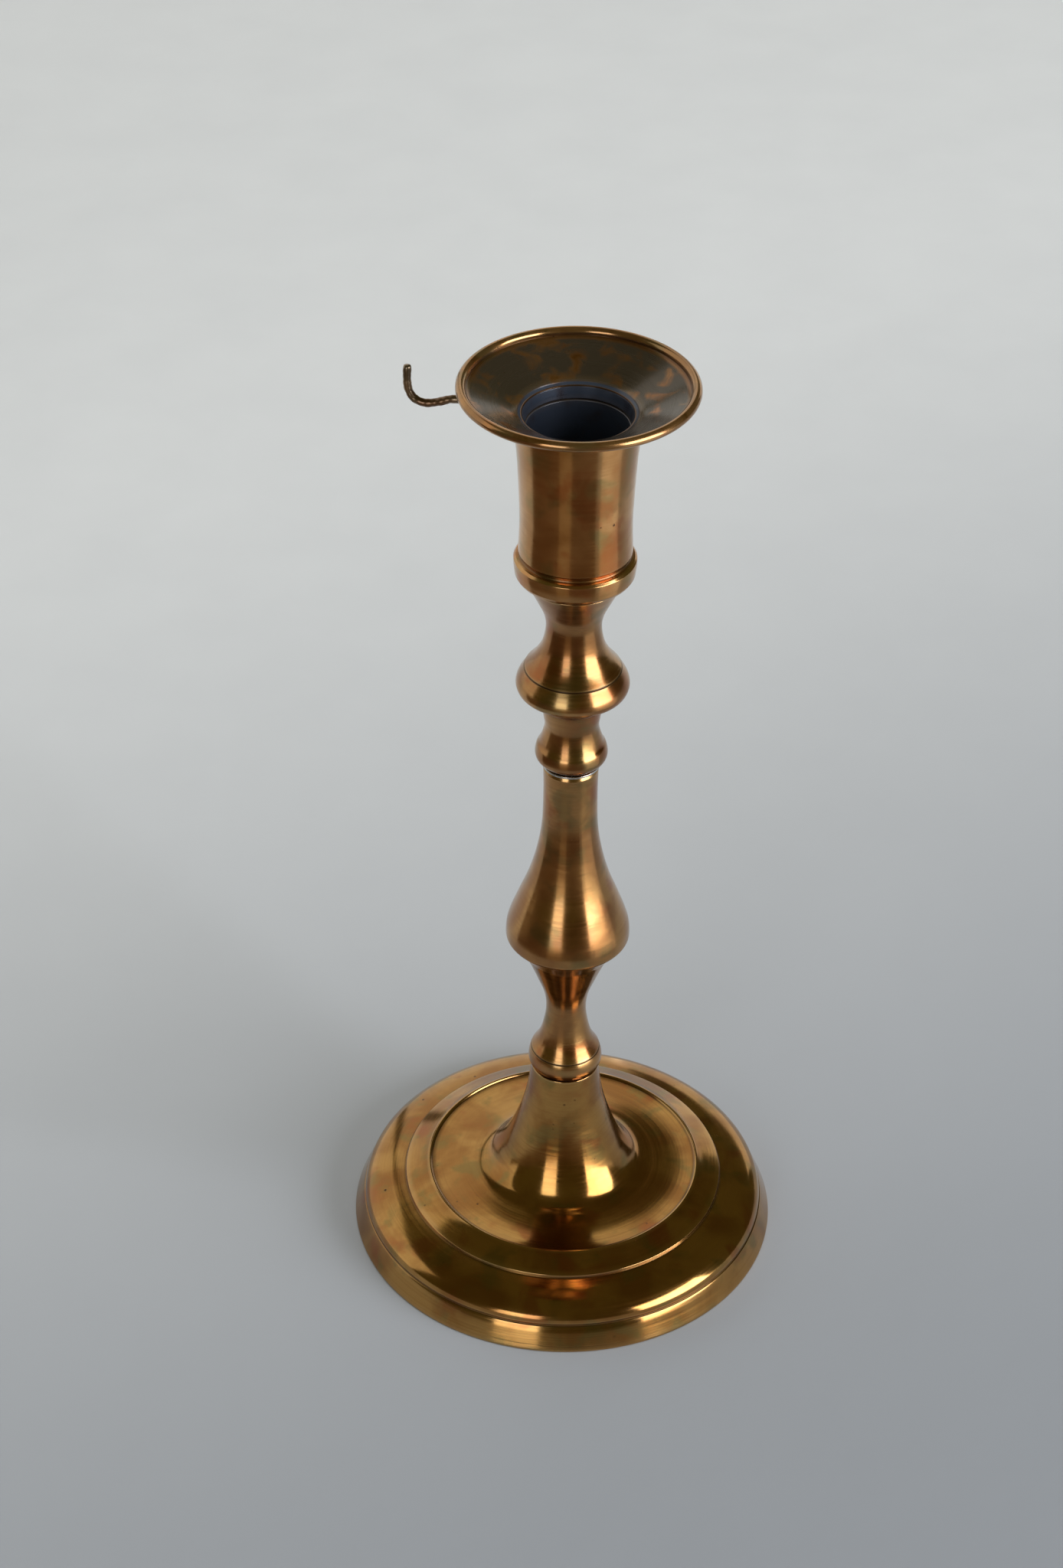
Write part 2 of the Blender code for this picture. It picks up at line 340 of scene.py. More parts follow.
class Workshop:
    """A Geometry Nodes tree that makes pieces, with the steps every such tree shares."""

    def __init__(self, name: str, sizes: dict[str, str]) -> None:
        """Start a tree.

        Args:
            name: the tree's name.
            sizes: the socket type of each named input, besides the geometry and the material.
        """
        self.tree = bpy.data.node_groups.new(name, "GeometryNodeTree")
        face = self.tree.interface
        face.new_socket("Geometry", in_out="INPUT", socket_type="NodeSocketGeometry")
        for label, kind in {**sizes, "Metal": "NodeSocketMaterial"}.items():
            face.new_socket(label, in_out="INPUT", socket_type=kind)
        face.new_socket("Geometry", in_out="OUTPUT", socket_type="NodeSocketGeometry")
        self.given = add(self.tree, "NodeGroupInput").node.outputs

    def close(self, geometry: NodeSocket) -> None:
        """End the tree: smooth faces, real geometry and the metal."""
        shaded = add(self.tree, "GeometryNodeSetShadeSmooth", {"Geometry": geometry})
        real = add(self.tree, "GeometryNodeRealizeInstances", {"Geometry": shaded})
        dressed = add(self.tree, "GeometryNodeSetMaterial",
                      {"Geometry": real, "Material": self.given["Metal"]})
        add(self.tree, "NodeGroupOutput", {"Geometry": dressed})

    def run(self, name: str, guide: Mesh, values: dict[str, object]) -> Object:
        """Run the tree on a guide mesh.

        Args:
            name: the finished piece's name.
            guide: the mesh of points and edges that the tree reads.
            values: the value of each named input.

        Returns:
            A plain mesh object at the origin.
        """
        source = show(f"{name}.guide", guide)
        modifier = source.modifiers.new("Shape", "NODES")
        modifier.node_group = self.tree
        for item in self.tree.interface.items_tree:
            if item.in_out == "INPUT" and item.name in values:
                modifier[item.identifier] = values[item.name]
        mesh = settled(source)
        bpy.data.objects.remove(source, do_unlink=True)
        bpy.data.meshes.remove(guide)
        mesh.name = name
        return show(name, mesh)


def chain(name: str, places: np.ndarray, layers: dict[str, np.ndarray]) -> Mesh:
    """Make a mesh of points joined one to the next.

    Args:
        name: the mesh's name.
        places: the points, in metres.
        layers: values kept on each point, by name.

    Returns:
        The mesh.
    """
    mesh = bpy.data.meshes.new(name)
    mesh.from_pydata([tuple(p) for p in places], [(i, i + 1) for i in range(len(places) - 1)], [])
    for label, values in layers.items():
        mesh.attributes.new(label, "FLOAT", "POINT").data.foreach_set("value", values.astype(np.float32))
    return mesh


class Lathe(Workshop):
    """Spins an outline about the Z axis, and cuts a screw thread where the outline asks for one."""

    def __init__(self) -> None:
        """Build the tree."""
        super().__init__("Lathe", {"Facets": "NodeSocketInt", "Pitch": "NodeSocketFloat",
                                   "Thread Depth": "NodeSocketFloat"})
        tree, given = self.tree, self.given
        count = add(tree, "GeometryNodeAttributeDomainSize", {"Geometry": given["Geometry"]})
        columns = add(tree, "ShaderNodeMath", {0: given["Facets"], 1: 1.0}, operation="ADD")
        grid = add(tree, "GeometryNodeMeshGrid", {"Vertices X": columns, "Vertices Y": count})
        index = add(tree, "GeometryNodeInputIndex")
        row = add(tree, "ShaderNodeMath", {0: index, 1: count}, operation="MODULO")
        column = add(tree, "ShaderNodeMath", {0: add(tree, "ShaderNodeMath", {0: index, 1: count},
                                                     operation="DIVIDE")}, operation="FLOOR")
        share = add(tree, "ShaderNodeMath", {0: column, 1: given["Facets"]}, operation="DIVIDE")
        place = add(tree, "GeometryNodeSampleIndex", {
            "Geometry": given["Geometry"], "Value": add(tree, "GeometryNodeInputPosition"), "Index": row,
        }, data_type="FLOAT_VECTOR")
        read = {label: add(tree, "GeometryNodeSampleIndex", {
            "Geometry": given["Geometry"], "Index": row,
            "Value": add(tree, "GeometryNodeInputNamedAttribute", {"Name": label}, data_type="FLOAT"),
        }, data_type="FLOAT") for label in (*LAYERS, "thread")}

        split = add(tree, "ShaderNodeSeparateXYZ", {"Vector": place}).node.outputs
        turns = add(tree, "ShaderNodeMath", {0: split["Z"], 1: given["Pitch"]}, operation="DIVIDE")
        phase = add(tree, "ShaderNodeMath", {0: turns, 1: share}, operation="SUBTRACT")
        flank = add(tree, "ShaderNodeMath", {0: phase, 1: 0.5}, operation="PINGPONG")
        deep = add(tree, "ShaderNodeMath", {0: flank, 1: 2.0}, operation="MULTIPLY")
        depth = add(tree, "ShaderNodeMath", {0: deep, 1: given["Thread Depth"]}, operation="MULTIPLY")
        cut = add(tree, "ShaderNodeMath", {0: depth, 1: read["thread"]}, operation="MULTIPLY")
        radius = add(tree, "ShaderNodeMath", {0: split["X"], 1: cut}, operation="SUBTRACT")
        flat = add(tree, "ShaderNodeCombineXYZ", {"X": radius, "Z": split["Z"]})
        angle = add(tree, "ShaderNodeMath", {0: share, 1: 2 * math.pi}, operation="MULTIPLY")
        spun = add(tree, "ShaderNodeVectorRotate", {"Vector": flat, "Angle": angle}, rotation_type="Z_AXIS")
        body = add(tree, "GeometryNodeSetPosition", {"Geometry": grid, "Position": spun})
        for label in LAYERS:
            body = add(tree, "GeometryNodeStoreNamedAttribute",
                       {"Geometry": body, "Name": label, "Value": read[label]},
                       data_type="FLOAT", domain="POINT")
        self.close(add(tree, "GeometryNodeMergeByDistance", {"Geometry": body, "Distance": MERGE}))

    def spin(self, name: str, outline: Outline, facets: int, metal: Material, pitch: float = 1.0,
             thread_depth: float = 0.0) -> Object:
        """Spin an outline into a piece.

        Args:
            name: the piece's name.
            outline: its section.
            facets: faces round the axis.
            metal: its material.
            pitch: the thread's pitch in millimetres.
            thread_depth: the thread's depth in millimetres.

        Returns:
            The piece.
        """
        rows = outline.finished()
        places = np.column_stack([rows[:, 0], np.zeros(len(rows)), rows[:, 1]]) * MM
        names = ("tarnish", "soot_and_sheen", "thread", "wear_and_highlight", "grime")
        guide = chain(f"{name}.outline", places, {n: rows[:, 2 + i] for i, n in enumerate(names)})
        return self.run(name, guide, {"Facets": facets, "Pitch": pitch * MM,
                                      "Thread Depth": thread_depth * MM, "Metal": metal})


class WireBender(Workshop):
    """Sweeps a round wire along a line of points, as thick as each point says."""

    def __init__(self) -> None:
        """Build the tree."""
        super().__init__("Wire", {"Wire Radius": "NodeSocketFloat", "Sides": "NodeSocketInt"})
        tree, given = self.tree, self.given
        line = add(tree, "GeometryNodeMeshToCurve", {"Mesh": given["Geometry"]})
        swell = add(tree, "GeometryNodeInputNamedAttribute", {"Name": "swell"}, data_type="FLOAT")
        ring = add(tree, "GeometryNodeCurvePrimitiveCircle",
                   {"Resolution": given["Sides"], "Radius": given["Wire Radius"]}, mode="RADIUS")
        self.close(add(tree, "GeometryNodeCurveToMesh", {"Curve": line, "Profile Curve": ring, "Scale": swell,
                                                         "Fill Caps": True}))


# -------------------------------------------------------------------------------------------- finishes


def patch(tree: NodeTree, place: NodeSocket, size: float, low: float, high: float,
          detail: float = 3.0, twist: float = 0.0) -> NodeSocket:
    """Draw soft patches.

    Args:
        tree: the material's tree.
        place: coordinates in millimetres.
        size: the patches' size in millimetres.
        low: noise value where they begin.
        high: noise value where they are full.
        detail: octaves of finer edge.
        twist: how far the patches are distorted.

    Returns:
        A factor from 0 to 1.
    """
    noise = add(tree, "ShaderNodeTexNoise", {"Vector": place, "Scale": 1.0 / size, "Detail": detail,
                                             "Distortion": twist})
    return add(tree, "ShaderNodeMapRange", {"Value": noise, "From Min": low, "From Max": high},
               interpolation_type="SMOOTHSTEP")


def tint(tree: NodeTree, under: object, over: str, amount: NodeSocket,
         strength: float = 1.0) -> NodeSocket:
    """Lay one colour over another.

    Args:
        tree: the material's tree.
        under: the colour below, as a socket or as linear values.
        over: the hex colour that is laid on.
        amount: how much of it covers, from 0 to 1.
        strength: how strongly it shows where the amount is 1.

    Returns:
        The mixed colour.
    """
    if strength < 1.0:
        amount = add(tree, "ShaderNodeMath", {0: amount, 1: strength}, operation="MULTIPLY")
    return add(tree, "ShaderNodeMix", {"Factor_Float": amount, "A_Color": under, "B_Color": linear(over)},
               take="Result_Color", data_type="RGBA")


@dataclass(frozen=True)
class AgedBrass:
    """Cast brass, turned on a lathe, polished, and handled and left to darken for many years.

    The lathe leaves fine rings round the axis, which draw each highlight out along the stem. Age gives a
    brown film, copper red and olive patches, small dark spots, bright rubbed edges that also carry a painted
    highlight, and dirt in the grooves. Candle smoke blackens the bores, with a painted bluish sheen.
    """

    COVER = 0.3                 # how much less metallic the brass looks under a full film, and under soot
    WAX = 0.35                  # a thin film of polish, which whitens the highlights
    RING_TONE = 0.22            # how far the tool marks darken the colour
    ROUGH_SPREAD = 0.05         # how far they change the roughness, each way
    SPOT_SHARE = 0.72           # share of the cells that stay clean
    SPOT_REACH = 0.16           # largest spot's radius, as a share of the spacing
    SPOT_EDGE = 0.05            # width of its soft edge

    name: str
    brass: str = "#BE8F55"
    brown: str = "#99683A"
    copper: str = "#9C5528"
    olive: str = "#847244"
    dark: str = "#3A2410"
    # Colour of the bright edges: rubbed brass, and partly a painted highlight.
    bright: str = "#DDB77E"
    # Colour of the candle smoke in the bores, tinted bluish as a painted sheen.
    sooty_sheen_colour: str = "#3D485A"
    smoked: str = "#5E5038"
    roughness: float = 0.22
    rings: float = 0.45         # real tool marks are 0.1 to 0.2 mm apart; drawn coarser, so that they show
    ring_depth: float = 0.004
    copper_from: float = 0.56   # noise value above which copper shows; lower means more of it
    olive_from: float = 0.52
    spots: float = 2.6          # spacing of dark spots in millimetres
    anisotropic: float = 0.5
    shift: float = 0.0          # moves the patches, so that no two pieces match

    def material(self) -> Material:
        """Build the material.

        Returns:
            The finished material.
        """
        material = blank(self.name)
        tree = material.node_tree
        spot = add(tree, "ShaderNodeTexCoord", take="Object")
        place = add(tree, "ShaderNodeMapping", {"Vector": spot, "Location": (self.shift, 0.0, self.shift),
                                                "Scale": (1 / MM,) * 3})
        layer = {n: add(tree, "ShaderNodeAttribute", take="Fac", attribute_name=n) for n in LAYERS}

        browned = patch(tree, place, size=14.0, low=0.36, high=0.66, detail=4.0, twist=0.5)
        olive = patch(tree, place, size=8.0, low=self.olive_from, high=self.olive_from + 0.16, twist=0.25)
        reddened = patch(tree, place, size=11.0, low=self.copper_from, high=self.copper_from + 0.14,
                         twist=0.35)
        colour = tint(tree, linear(self.brass), self.brown, browned)
        colour = tint(tree, colour, self.olive, olive, strength=0.7)
        colour = tint(tree, colour, self.copper, reddened, strength=0.65)
        rings = self._rings(tree, spot)
        ringed = add(tree, "ShaderNodeMapRange", {"Value": rings, "From Min": 0.35, "From Max": 0.65,
                                                  "To Min": 0.0, "To Max": self.RING_TONE})
        colour = tint(tree, colour, self.brown, ringed)

        speckle = self._spots(tree, place)
        uneven = patch(tree, place, size=5.0, low=0.22, high=0.5, detail=4.0, twist=0.6)
        film = add(tree, "ShaderNodeMath", {0: layer["tarnish"], 1: uneven}, operation="MULTIPLY")
        colour = tint(tree, colour, self.smoked, film)
        # Brighten convex edges: rubbed metal, and partly a painted highlight along them.
        colour = tint(tree, colour, self.bright, layer["wear_and_highlight"], strength=0.6)
        colour = tint(tree, colour, self.dark, speckle, strength=0.85)
        colour = tint(tree, colour, self.dark, layer["grime"], strength=0.95)
        # Blacken the bores with candle smoke; the colour's bluish tint is a painted sheen.
        colour = tint(tree, colour, self.sooty_sheen_colour, layer["soot_and_sheen"])

        rough = add(tree, "ShaderNodeMapRange", {"Value": rings, "From Min": 0.3, "From Max": 0.7,
                                                 "To Min": self.roughness - self.ROUGH_SPREAD,
                                                 "To Max": self.roughness + self.ROUGH_SPREAD})
        for amount, share in ((speckle, 0.2), (film, 0.08), (layer["grime"], 0.25), (layer["soot_and_sheen"], 0.1)):
            rough = add(tree, "ShaderNodeMath", {0: amount, 1: share, 2: rough}, operation="MULTIPLY_ADD")
        pits = add(tree, "ShaderNodeTexNoise", {"Vector": place, "Scale": 1.6, "Detail": 4.0})
        height = add(tree, "ShaderNodeMath", {0: pits, 1: 0.35, 2: rings}, operation="MULTIPLY_ADD")
        height = add(tree, "ShaderNodeMath", {0: speckle, 1: -0.6, 2: height}, operation="MULTIPLY_ADD")
        normal = add(tree, "ShaderNodeBump", {"Height": height, "Distance": self.ring_depth * MM,
                                              "Strength": 1.0})
        tangent = add(tree, "ShaderNodeTangent", direction_type="RADIAL", axis="Z")
        bare = 1.0
        for cover in (film, layer["soot_and_sheen"]):
            bare = add(tree, "ShaderNodeMath", {0: cover, 1: -self.COVER, 2: bare}, operation="MULTIPLY_ADD")
        shader = add(tree, "ShaderNodeBsdfPrincipled", {
            "Base Color": colour, "Metallic": bare, "Roughness": rough, "Normal": normal, "Tangent": tangent,
            "Anisotropic": self.anisotropic, "Anisotropic Rotation": 0.25,
            "Coat Weight": self.WAX, "Coat Roughness": 0.12, "Coat IOR": 1.5,
        })
        add(tree, "ShaderNodeOutputMaterial", {"Surface": shader})
        return material

    def _rings(self, tree: NodeTree, spot: NodeSocket) -> NodeSocket:
        """Draw lathe rings: noise that follows radius and height, and hardly changes round the axis.

        Args:
            tree: the material's tree.
            spot: coordinates in metres.

        Returns:
            Noise from 0 to 1.
        """
        axes = add(tree, "ShaderNodeSeparateXYZ", {"Vector": spot}).node.outputs
        flat = add(tree, "ShaderNodeCombineXYZ", {"X": axes["X"], "Y": axes["Y"]})
        radius = add(tree, "ShaderNodeVectorMath", {0: flat}, take="Value", operation="LENGTH")
        around = add(tree, "ShaderNodeVectorMath", {0: flat}, operation="NORMALIZE")
        compass = add(tree, "ShaderNodeSeparateXYZ", {"Vector": around}).node.outputs
        pace = 1.0 / (self.rings * MM)
        across = add(tree, "ShaderNodeMath", {0: radius, 1: pace}, operation="MULTIPLY")
        upward = add(tree, "ShaderNodeMath", {0: axes["Z"], 1: pace}, operation="MULTIPLY")
        vector = add(tree, "ShaderNodeCombineXYZ", {"X": across, "Y": upward, "Z": compass["X"]})
        return add(tree, "ShaderNodeTexNoise", {"Vector": vector, "W": compass["Y"], "Scale": 1.0,
                                                "Detail": 2.0}, noise_dimensions="4D")

    def _spots(self, tree: NodeTree, place: NodeSocket) -> NodeSocket:
        """Scatter small dark spots, in groups.

        Args:
            tree: the material's tree.
            place: coordinates in millimetres.

        Returns:
            A factor from 0 to 1.
        """
        cell = add(tree, "ShaderNodeTexVoronoi", {"Vector": place, "Scale": 1.0 / self.spots})
        size = add(tree, "ShaderNodeSeparateColor", {"Color": cell.node.outputs["Color"]})
        reach = add(tree, "ShaderNodeMapRange", {"Value": size, "From Min": self.SPOT_SHARE, "From Max": 1.0,
                                                 "To Min": 0.0, "To Max": self.SPOT_REACH})
        inside = add(tree, "ShaderNodeMath", {0: reach, 1: cell}, operation="SUBTRACT")
        dot = add(tree, "ShaderNodeMapRange", {"Value": inside, "From Min": 0.0, "From Max": self.SPOT_EDGE},
                  interpolation_type="SMOOTHSTEP")
        groups = patch(tree, place, size=16.0, low=0.42, high=0.6)
        return add(tree, "ShaderNodeMath", {0: dot, 1: groups}, operation="MULTIPLY")


@dataclass(frozen=True)
class FixingMetal:
    """Plated or plain steel, turned and handled: pale and fairly bright, with dull patches and rust."""

    name: str
    metal: str = "#B9B6AE"
    dull: str = "#7C7870"
    stain: str = "#6B4A2C"
    roughness: float = 0.3
    stain_from: float = 0.6

    def material(self) -> Material:
        """Build the material.

        Returns:
            The finished material.
        """
        material = blank(self.name)
        tree = material.node_tree
        spot = add(tree, "ShaderNodeTexCoord", take="Object")
        place = add(tree, "ShaderNodeMapping", {"Vector": spot, "Scale": (1 / MM,) * 3})
        grime = add(tree, "ShaderNodeAttribute", take="Fac", attribute_name="grime")
        dulled = patch(tree, place, size=1.8, low=0.35, high=0.7, detail=4.0, twist=0.5)
        stained = patch(tree, place, size=2.5, low=self.stain_from, high=self.stain_from + 0.12)
        colour = tint(tree, linear(self.metal), self.dull, dulled)
        colour = tint(tree, colour, self.stain, stained)
        colour = tint(tree, colour, self.stain, grime)
        streak = add(tree, "ShaderNodeMapping", {"Vector": spot, "Scale": (1 / MM, 1 / MM, 8 / MM)})
        fine = add(tree, "ShaderNodeTexNoise", {"Vector": streak, "Scale": 1.0, "Detail": 3.0})
        rough = add(tree, "ShaderNodeMapRange", {"Value": fine, "From Min": 0.3, "From Max": 0.7,
                                                 "To Min": self.roughness - 0.08,
                                                 "To Max": self.roughness + 0.12})
        normal = add(tree, "ShaderNodeBump", {"Height": fine, "Distance": 0.01 * MM, "Strength": 1.0})
        shader = add(tree, "ShaderNodeBsdfPrincipled", {"Base Color": colour, "Metallic": 1.0,
                                                        "Roughness": rough, "Normal": normal})
        add(tree, "ShaderNodeOutputMaterial", {"Surface": shader})
        return material


# ---------------------------------------------------------------------------------------------- pieces


def place(piece: Object, body: Body, slot: Slot, *nodes: str) -> Object:
    """Hang a finished piece on its body in place of its CAD nodes.

    Args:
        piece: the piece.
        body: the body that carries it.
        slot: the record's slot for its finish; not used.
        nodes: the CAD nodes that it stands for.

    Returns:
        The piece.
    """
    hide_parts(*nodes)
    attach(piece, body.value)
    LOG.info("%s: %d faces on %s", piece.name, len(piece.data.polygons), body.value)
    return piece


@dataclass
class Foot:
    """The round foot: skirt, ovolo, band and a trumpet that rises to the stem, hollow below."""

    lathe: Lathe
    radius: float = 52.0
    top: float = 47.2
    neck_radius: float = 8.1
    roof: float = 44.0
    hole_radius: float = 3.4
    throat_radius: float = 6.6
    facets: int = 288

    def outline(self) -> Outline:
        """Draw the section.

        Returns:
            The outline, from the rim that it stands on up the outside and down the hollow.
        """
        shape = Outline(ease=0.14)
        shape.line((self.radius, 0.0), (self.radius, 0.5), (49.85, 5.6), (49.65, 5.95), (49.4, 6.1),
                   (49.35, 6.4))
        shape.curve((49.45, 6.75), (48.7, 8.4), (46.6, 10.1), (43.2, 11.3), (39.45, 12.0), steps=14)
        shape.line((39.3, 12.1), (39.1, 12.8), (34.1, 15.15), (33.6, 15.5), (33.3, 15.58), (33.0, 15.5),
                   (32.8, 15.25))
        shape.curve((32.6, 15.12), (31.2, 15.02), (29.2, 15.03), (26.5, 15.16), (23.5, 15.42), (20.8, 15.75),
                    (18.8, 16.4), (17.4, 17.6), (16.1, 19.4), (14.4, 22.5), (12.4, 27.4), (10.6, 33.0),
                    (9.2, 38.8), (self.neck_radius, self.top), steps=9)
        shape.line((self.hole_radius, self.top), (self.hole_radius, self.roof),
                   (self.throat_radius, self.roof), tarnish=0.7)
        shape.curve((7.0, 38.2), (8.4, 32.4), (10.2, 26.6), (12.5, 20.9), (15.5, 15.8), (18.9, 13.6),
                    (24.2, 12.75), (29.2, 12.3), (32.9, 13.0), steps=5, tarnish=0.7)
        shape.line((38.4, 10.2), (45.4, 7.9), (48.2, 5.4), (49.0, 3.4), (49.0, 0.0), tarnish=0.7)
        return shape

    def build(self) -> Object:
        """Make the foot and put it in place."""
        metal = AgedBrass("foot_brass_turned_and_aged", brass="#B98B49", brown="#98662C", olive="#85713A",
                          roughness=0.14, anisotropic=0.4, shift=31.0).material()
        piece = self.lathe.spin("round_foot", self.outline(), self.facets, metal)
        return place(piece, Body.BASE, Slot.FOOT, "foot")


@dataclass
class LowerStem:
    """The lower stem: collar with an engraved line, spool, bell and a long neck."""

    lathe: Lathe
    bottom: float = 47.5
    top: float = 136.7
    hole_radius: float = 3.3
    hole_depth: float = 12.0
    facets: int = 176

    def outline(self) -> Outline:
        """Draw the section.

        Returns:
            The outline, from the blind hole in its bottom to the one in its top.
        """
        shape = Outline(ease=0.18)
        hole = self.bottom + self.hole_depth
        shape.line((0.0, hole), (self.hole_radius, hole), (self.hole_radius, self.bottom), tarnish=0.6)
        shape.line((7.75, self.bottom), (8.5, 48.2), (8.8, 49.0), (8.9, 49.9), (8.8, 51.0), (8.5, 52.1))
        shape.line((8.32, 52.5), (8.17, 52.6), (8.15, 52.72), (8.25, 52.8))
        shape.curve((8.2, 52.95), (6.5, 56.0), (5.4, 60.0), (4.8, 65.0), (5.4, 70.0), (7.55, 76.0),
                    (8.9, 79.4))
        shape.curve((10.2, 82.4), (12.7, 85.9), (14.3, 87.3), (14.65, 88.6), (14.2, 92.0), (12.1, 98.0),
                    (9.5, 105.0), (7.6, 112.4), (6.5, 120.0), (6.25, 129.0), (6.35, 135.9))
        shape.line((6.05, self.top))
        shape.line((self.hole_radius, self.top), (self.hole_radius, self.top - self.hole_depth),
                   (0.0, self.top - self.hole_depth), tarnish=0.6)
        return shape

    def build(self) -> Object:
        """Make the lower stem and put it in place."""
        metal = AgedBrass("lower_stem_brass_turned_and_aged", shift=7.0).material()
        piece = self.lathe.spin("bell_stem", self.outline(), self.facets, metal)
        return place(piece, Body.BASE, Slot.STEM, "lower_stem")


@dataclass
class UpperStem:
    """The upper stem: small knop, big knop with an engraved line, and the flare under the cup."""

    lathe: Lathe
    bottom: float = 137.8
    top: float = 186.6
    hole_radius: float = 3.3
    hole_depth: float = 12.0
    facets: int = 176

    def outline(self) -> Outline:
        """Draw the section.

        Returns:
            The outline, from the blind hole in its bottom to the one in its top.
        """
        shape = Outline(ease=0.18)
        hole = self.bottom + self.hole_depth
        shape.line((0.0, hole), (self.hole_radius, hole), (self.hole_radius, self.bottom), tarnish=0.6)
        shape.curve((6.1, self.bottom), (7.7, 138.9), (8.3, 140.3), (8.0, 142.3), (7.15, 144.0), (6.2, 147.6),
                    (6.5, 150.6))
        shape.curve((7.0, 153.6), (8.8, 155.9), (11.2, 157.2), (12.35, 158.0), (12.82, 159.2), (12.7, 160.4),
                    (12.1, 161.8), (11.05, 163.45))
        shape.line((10.85, 163.55), (10.83, 163.68), (10.97, 163.75))
        shape.curve((10.87, 163.85), (8.7, 166.6), (7.0, 170.0), (6.25, 174.5), (6.75, 178.0), (8.3, 181.6),
                    (10.8, self.top))
        shape.line((self.hole_radius, self.top), (self.hole_radius, self.top - self.hole_depth),
                   (0.0, self.top - self.hole_depth), tarnish=0.6)
        return shape

    def build(self) -> Object:
        """Make the upper stem and put it in place."""
        metal = AgedBrass("upper_stem_brass_turned_and_aged", shift=53.0).material()
        piece = self.lathe.spin("knopped_stem", self.outline(), self.facets, metal)
        return place(piece, Body.TOP, Slot.STEM, "upper_stem")


@dataclass
class CandleCup:
    """The socket for the candle: a ring, a waisted tube and a blackened bore."""

    lathe: Lathe
    bottom: float = 186.9
    top: float = 227.9
    bore_radius: float = 11.1
    floor: float = 193.6
    mouth_radius: float = 12.3
    mouth_depth: float = 2.9
    hole_radius: float = 3.4
    facets: int = 208

    def outline(self) -> Outline:
        """Draw the section.

        Returns:
            The outline, up the outside and down the bore.
        """
        shape = Outline(ease=0.2)
        shape.line((11.0, self.bottom), (12.9, 188.2), (13.3, 188.9), (13.55, 191.0), (13.55, 192.5),
                   (13.1, 193.05), (12.35, 193.3), (12.2, 193.6), (12.3, 194.1))
        shape.curve((12.55, 194.6), (12.5, 196.0), (12.33, 202.0), (12.5, 208.0), (12.9, 216.0),
                    (13.3, 221.0), (14.0, self.top))
        step = self.top - self.mouth_depth
        shape.line((self.mouth_radius, self.top), (self.mouth_radius, step), tarnish=0.7)
        # The bore is blackened by candle smoke, with a painted bluish sheen.
        shape.line((self.bore_radius, step), (self.bore_radius, self.floor + 1.0),
                   (self.bore_radius - 1.0, self.floor), (self.hole_radius, self.floor),
                   tarnish=1.0, soot_and_sheen=0.92)
        shape.line((self.hole_radius, self.bottom), tarnish=0.7)
        return shape

    def build(self) -> Object:
        """Make the cup and put it in place."""
        metal = AgedBrass("cup_brass_turned_and_aged", brass="#D2A066", brown="#B07D45", copper="#B0602C",
                          olive="#97844F", copper_from=0.52, roughness=0.2, shift=88.0,
                          ring_depth=0.005).material()
        piece = self.lathe.spin("socket_cup", self.outline(), self.facets, metal)
        return place(piece, Body.TOP, Slot.CUP, "candle_cup")


@dataclass
class DripPan:
    """The drip pan: a spigot that lines the cup's mouth, a smoked dish and a rolled rim."""

    lathe: Lathe
    bottom: float = 228.2
    spigot_radius: float = 12.0
    spigot_bottom: float = 225.3
    spigot_wall: float = 0.7
    hole_radius: float = 12.95
    hole_height: float = 229.1
    rim_radius: float = 25.0
    rim_height: float = 234.35
    rim_bead: float = 1.12
    facets: int = 256

    def outline(self) -> Outline:
        """Draw the section.

        Returns:
            The outline, from the spigot's end up the outside, over the rim and down the dish.
        """
        shape = Outline(ease=0.2)
        inner = self.spigot_radius - self.spigot_wall
        # The spigot's inside is blackened by candle smoke, with a painted bluish sheen.
        shape.line((inner, self.spigot_bottom), (self.spigot_radius, self.spigot_bottom), tarnish=1.0,
                   soot_and_sheen=0.9)
        shape.line((self.spigot_radius, self.bottom), (14.0, self.bottom), (23.9, 232.8), tarnish=0.45)
        rim = (self.rim_radius, self.rim_height)
        shape.bead(rim, self.rim_bead, start=-95.0, end=200.0, steps=30, tarnish=0.3)
        shape.line((23.5, 233.62), tarnish=0.35)
        shape.line((22.9, 233.35), (18.6, 231.45), (self.hole_radius + 0.5, self.hole_height), tarnish=1.0)
        shape.line((self.hole_radius, self.hole_height - 0.35), tarnish=1.0, soot_and_sheen=0.3)
        shape.line((self.hole_radius - 0.15, self.hole_height - 0.55),
                   (self.hole_radius - 1.0, self.bottom - 0.3), tarnish=1.0, soot_and_sheen=0.92)
        return shape

    def build(self) -> Object:
        """Make the pan and put it in place."""
        metal = AgedBrass("pan_brass_smoked_by_candles", brass="#B98248", brown="#98612F", smoked="#4E4436",
                          roughness=0.17, anisotropic=0.3, ring_depth=0.0006, shift=140.0,
                          spots=1.7).material()
        piece = self.lathe.spin("dished_pan", self.outline(), self.facets, metal)
        return place(piece, Body.TOP, Slot.PAN, "drip_pan")


